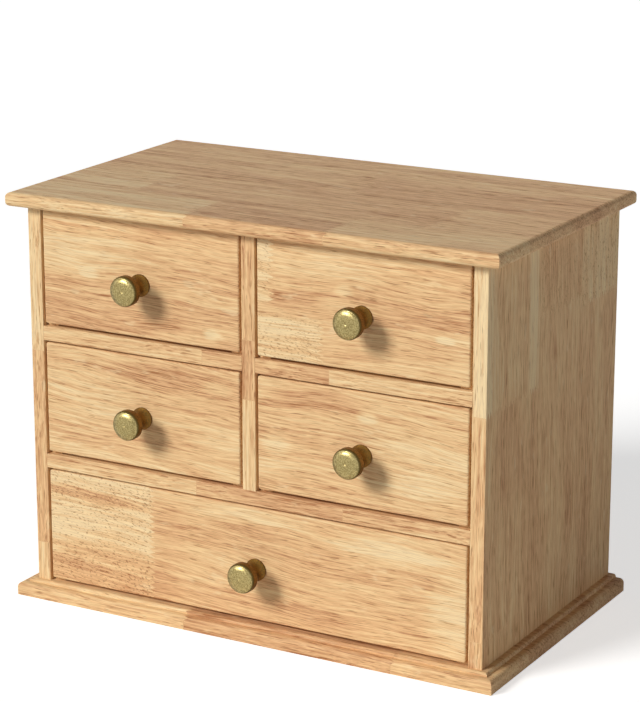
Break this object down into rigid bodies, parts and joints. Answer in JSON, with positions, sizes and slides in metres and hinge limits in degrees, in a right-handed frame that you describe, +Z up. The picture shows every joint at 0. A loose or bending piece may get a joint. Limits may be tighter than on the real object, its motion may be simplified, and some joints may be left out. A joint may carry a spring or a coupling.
{
  "type": "desktop mini drawers",
  "caption": "Small desktop chest of drawers: two rows of paired small drawers over a wide one, in finger-jointed pale wood with round metal knobs and a routed base.",
  "frame": {"origin": "centre of the base board's underside, on the surface that the chest stands on", "axes": "+Z up, +X to the right as seen from the front, -Y out of the drawer fronts, so each drawer opens along -Y"},
  "size_m": [0.3624, 0.2233, 0.284],
  "materials": {
    "rubberwood": "finger-jointed rubberwood, clear satin lacquer",
    "drawer_wood": "planed pale wood, left plain inside the drawers",
    "thin_board": "thin veneered board",
    "dowel_wood": "plain hardwood dowel",
    "antique_brass": "darkened antique brass, speckled, worn bright on the rim",
    "plated_steel": "bright plated"
  },
  "bodies": {
    "cabinet": {"top_board": "rubberwood", "base_board": "rubberwood", "left_side_panel": "rubberwood", "right_side_panel": "rubberwood", "lower_shelf": "rubberwood", "upper_left_shelf": "rubberwood", "upper_right_shelf": "rubberwood", "centre_divider": "rubberwood", "back_panel": "thin_board", "carcass_dowels": "dowel_wood", "base_screws": "plated_steel"},
    "upper_left_drawer": {"upper_left_front": "rubberwood", "upper_left_left_side": "drawer_wood", "upper_left_right_side": "drawer_wood", "upper_left_back": "drawer_wood", "upper_left_bottom": "thin_board", "upper_left_knob": "antique_brass", "upper_left_knob_screw": "plated_steel"},
    "upper_right_drawer": {"upper_right_front": "rubberwood", "upper_right_left_side": "drawer_wood", "upper_right_right_side": "drawer_wood", "upper_right_back": "drawer_wood", "upper_right_bottom": "thin_board", "upper_right_knob": "antique_brass", "upper_right_knob_screw": "plated_steel"},
    "middle_left_drawer": {"middle_left_front": "rubberwood", "middle_left_left_side": "drawer_wood", "middle_left_right_side": "drawer_wood", "middle_left_back": "drawer_wood", "middle_left_bottom": "thin_board", "middle_left_knob": "antique_brass", "middle_left_knob_screw": "plated_steel"},
    "middle_right_drawer": {"middle_right_front": "rubberwood", "middle_right_left_side": "drawer_wood", "middle_right_right_side": "drawer_wood", "middle_right_back": "drawer_wood", "middle_right_bottom": "thin_board", "middle_right_knob": "antique_brass", "middle_right_knob_screw": "plated_steel"},
    "bottom_drawer": {"bottom_front": "rubberwood", "bottom_left_side": "drawer_wood", "bottom_right_side": "drawer_wood", "bottom_back": "drawer_wood", "bottom_bottom": "thin_board", "bottom_knob": "antique_brass", "bottom_knob_screw": "plated_steel"}
  },
  "joints": [
    {"name": "upper_left_drawer_slide", "type": "slide", "parent": "cabinet", "child": "upper_left_drawer", "axis": [0, -1, 0], "range_m": [0, 0.15]},
    {"name": "upper_right_drawer_slide", "type": "slide", "parent": "cabinet", "child": "upper_right_drawer", "axis": [0, -1, 0], "range_m": [0, 0.15]},
    {"name": "middle_left_drawer_slide", "type": "slide", "parent": "cabinet", "child": "middle_left_drawer", "axis": [0, -1, 0], "range_m": [0, 0.15]},
    {"name": "middle_right_drawer_slide", "type": "slide", "parent": "cabinet", "child": "middle_right_drawer", "axis": [0, -1, 0], "range_m": [0, 0.15]},
    {"name": "bottom_drawer_slide", "type": "slide", "parent": "cabinet", "child": "bottom_drawer", "axis": [0, -1, 0], "range_m": [0, 0.15]}
  ]
}
